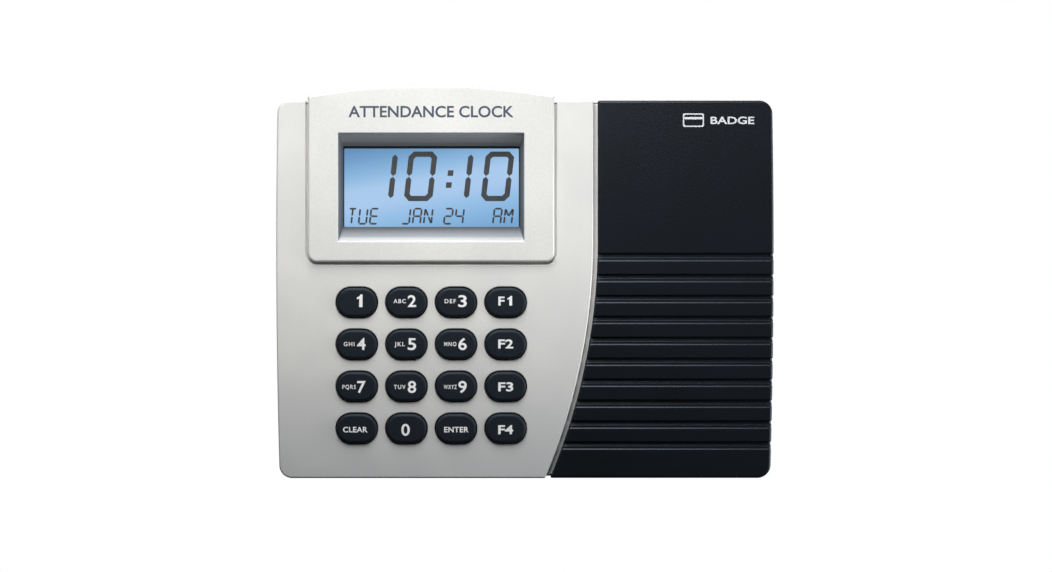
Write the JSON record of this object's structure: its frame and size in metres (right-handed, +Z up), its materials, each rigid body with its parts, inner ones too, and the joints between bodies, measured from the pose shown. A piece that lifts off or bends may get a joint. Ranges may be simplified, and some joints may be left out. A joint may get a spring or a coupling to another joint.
{
  "type": "wall-mounted punch time clock",
  "caption": "Wall-mounted electronic time clock: arched display bezel, keypad with spring-back keys and a ribbed badge-reader cover on a steel wall plate.",
  "frame": {"origin": "centre of the four wall screw holes, on the back face of the wall plate, which lies on the wall", "axes": "+X to the right seen from the front, +Z up, the clock faces -Y; the wall plane is y = 0"},
  "size_m": [0.1992, 0.0418, 0.1573],
  "materials": {
    "zinc_steel": "zinc-plated sheet steel, satin",
    "screw_steel": "zinc-plated, satin",
    "black_case": "fine spark-eroded texture, matte",
    "label": "satin printed film",
    "silver_cover": "silver paint over moulded plastic, satin",
    "silver_bezel": "silver paint over moulded plastic, satin",
    "lens": "clear polished acrylic",
    "black_cover": "fine pebble grain, matte",
    "lcd_glass": "clear glass",
    "polariser": "smooth film",
    "light_guide": "milky acrylic",
    "led_body": "clear epoxy",
    "black_rubber": "matte",
    "circuit_board": "solder-resist lacquer",
    "chip_black": "moulded epoxy",
    "ceramic": "fired ceramic",
    "silicone": "matte silicone",
    "gold_contact": "gold-plated copper",
    "copper_coil": "enamelled copper wire",
    "connector_black": "moulded nylon",
    "connector_ivory": "moulded nylon",
    "nickel_pin": "nickel plated",
    "jack_shield": "tin-plated, satin",
    "cell_steel": "bright satin",
    "capacitor_sleeve": "shrunk sleeve",
    "heat_sink_aluminium": "natural, satin",
    "grey_cable": "smooth PVC",
    "red_wire": "smooth PVC",
    "key_black": "soft matte with white legends"
  },
  "bodies": {
    "clock_body": {"wall_plate": "zinc_steel", "lock_screws": "screw_steel", "rear_case": "black_case", "rating_label": "label", "case_screws": "screw_steel", "front_cover": "silver_cover", "display_bezel": "silver_bezel", "bezel_screws": "screw_steel", "display_lens": "lens", "reader_cover": "black_cover", "lcd_glass": "lcd_glass", "lcd_polarisers": "polariser", "lcd_light_guide": "light_guide", "backlight_leds": "led_body", "lcd_frame": "black_case", "zebra_strips": "black_rubber", "main_board": "circuit_board", "main_board_chips": "chip_black", "main_board_small_parts": "ceramic", "main_board_screws": "screw_steel", "keypad_mat": "silicone", "contact_pills": "black_rubber", "key_contacts": "gold_contact", "reader_board": "circuit_board", "antenna_coil": "copper_coil", "reader_module": "chip_black", "reader_board_screws": "screw_steel", "interface_board": "circuit_board", "power_jack": "connector_black", "power_jack_pin": "nickel_pin", "network_jack": "jack_shield", "beeper": "connector_black", "coin_cell_holder": "connector_black", "coin_cell": "cell_steel", "capacitors": "capacitor_sleeve", "heat_sink": "heat_sink_aluminium", "interface_board_screws": "screw_steel", "board_headers": "connector_black", "ribbon_connectors": "connector_black", "ribbon_cable": "grey_cable", "cable_connectors": "connector_ivory", "reader_cable": "red_wire"},
    "key_1": {"key_1": "key_black"},
    "key_2": {"key_2": "key_black"},
    "key_3": {"key_3": "key_black"},
    "key_f1": {"key_f1": "key_black"},
    "key_4": {"key_4": "key_black"},
    "key_5": {"key_5": "key_black"},
    "key_6": {"key_6": "key_black"},
    "key_f2": {"key_f2": "key_black"},
    "key_7": {"key_7": "key_black"},
    "key_8": {"key_8": "key_black"},
    "key_9": {"key_9": "key_black"},
    "key_f3": {"key_f3": "key_black"},
    "key_clear": {"key_clear": "key_black"},
    "key_0": {"key_0": "key_black"},
    "key_enter": {"key_enter": "key_black"},
    "key_f4": {"key_f4": "key_black"}
  },
  "joints": [
    {"name": "key_1_press", "type": "slide", "parent": "clock_body", "child": "key_1", "axis": [0, 1, 0], "range_m": [0, 0.0012], "stiffness_N_per_m": 700, "springref_m": -0.0004, "deforming": ["keypad_mat"]},
    {"name": "key_2_press", "type": "slide", "parent": "clock_body", "child": "key_2", "axis": [0, 1, 0], "range_m": [0, 0.0012], "stiffness_N_per_m": 700, "springref_m": -0.0004, "deforming": ["keypad_mat"]},
    {"name": "key_3_press", "type": "slide", "parent": "clock_body", "child": "key_3", "axis": [0, 1, 0], "range_m": [0, 0.0012], "stiffness_N_per_m": 700, "springref_m": -0.0004, "deforming": ["keypad_mat"]},
    {"name": "key_f1_press", "type": "slide", "parent": "clock_body", "child": "key_f1", "axis": [0, 1, 0], "range_m": [0, 0.0012], "stiffness_N_per_m": 700, "springref_m": -0.0004, "deforming": ["keypad_mat"]},
    {"name": "key_4_press", "type": "slide", "parent": "clock_body", "child": "key_4", "axis": [0, 1, 0], "range_m": [0, 0.0012], "stiffness_N_per_m": 700, "springref_m": -0.0004, "deforming": ["keypad_mat"]},
    {"name": "key_5_press", "type": "slide", "parent": "clock_body", "child": "key_5", "axis": [0, 1, 0], "range_m": [0, 0.0012], "stiffness_N_per_m": 700, "springref_m": -0.0004, "deforming": ["keypad_mat"]},
    {"name": "key_6_press", "type": "slide", "parent": "clock_body", "child": "key_6", "axis": [0, 1, 0], "range_m": [0, 0.0012], "stiffness_N_per_m": 700, "springref_m": -0.0004, "deforming": ["keypad_mat"]},
    {"name": "key_f2_press", "type": "slide", "parent": "clock_body", "child": "key_f2", "axis": [0, 1, 0], "range_m": [0, 0.0012], "stiffness_N_per_m": 700, "springref_m": -0.0004, "deforming": ["keypad_mat"]},
    {"name": "key_7_press", "type": "slide", "parent": "clock_body", "child": "key_7", "axis": [0, 1, 0], "range_m": [0, 0.0012], "stiffness_N_per_m": 700, "springref_m": -0.0004, "deforming": ["keypad_mat"]},
    {"name": "key_8_press", "type": "slide", "parent": "clock_body", "child": "key_8", "axis": [0, 1, 0], "range_m": [0, 0.0012], "stiffness_N_per_m": 700, "springref_m": -0.0004, "deforming": ["keypad_mat"]},
    {"name": "key_9_press", "type": "slide", "parent": "clock_body", "child": "key_9", "axis": [0, 1, 0], "range_m": [0, 0.0012], "stiffness_N_per_m": 700, "springref_m": -0.0004, "deforming": ["keypad_mat"]},
    {"name": "key_f3_press", "type": "slide", "parent": "clock_body", "child": "key_f3", "axis": [0, 1, 0], "range_m": [0, 0.0012], "stiffness_N_per_m": 700, "springref_m": -0.0004, "deforming": ["keypad_mat"]},
    {"name": "key_clear_press", "type": "slide", "parent": "clock_body", "child": "key_clear", "axis": [0, 1, 0], "range_m": [0, 0.0012], "stiffness_N_per_m": 700, "springref_m": -0.0004, "deforming": ["keypad_mat"]},
    {"name": "key_0_press", "type": "slide", "parent": "clock_body", "child": "key_0", "axis": [0, 1, 0], "range_m": [0, 0.0012], "stiffness_N_per_m": 700, "springref_m": -0.0004, "deforming": ["keypad_mat"]},
    {"name": "key_enter_press", "type": "slide", "parent": "clock_body", "child": "key_enter", "axis": [0, 1, 0], "range_m": [0, 0.0012], "stiffness_N_per_m": 700, "springref_m": -0.0004, "deforming": ["keypad_mat"]},
    {"name": "key_f4_press", "type": "slide", "parent": "clock_body", "child": "key_f4", "axis": [0, 1, 0], "range_m": [0, 0.0012], "stiffness_N_per_m": 700, "springref_m": -0.0004, "deforming": ["keypad_mat"]}
  ]
}
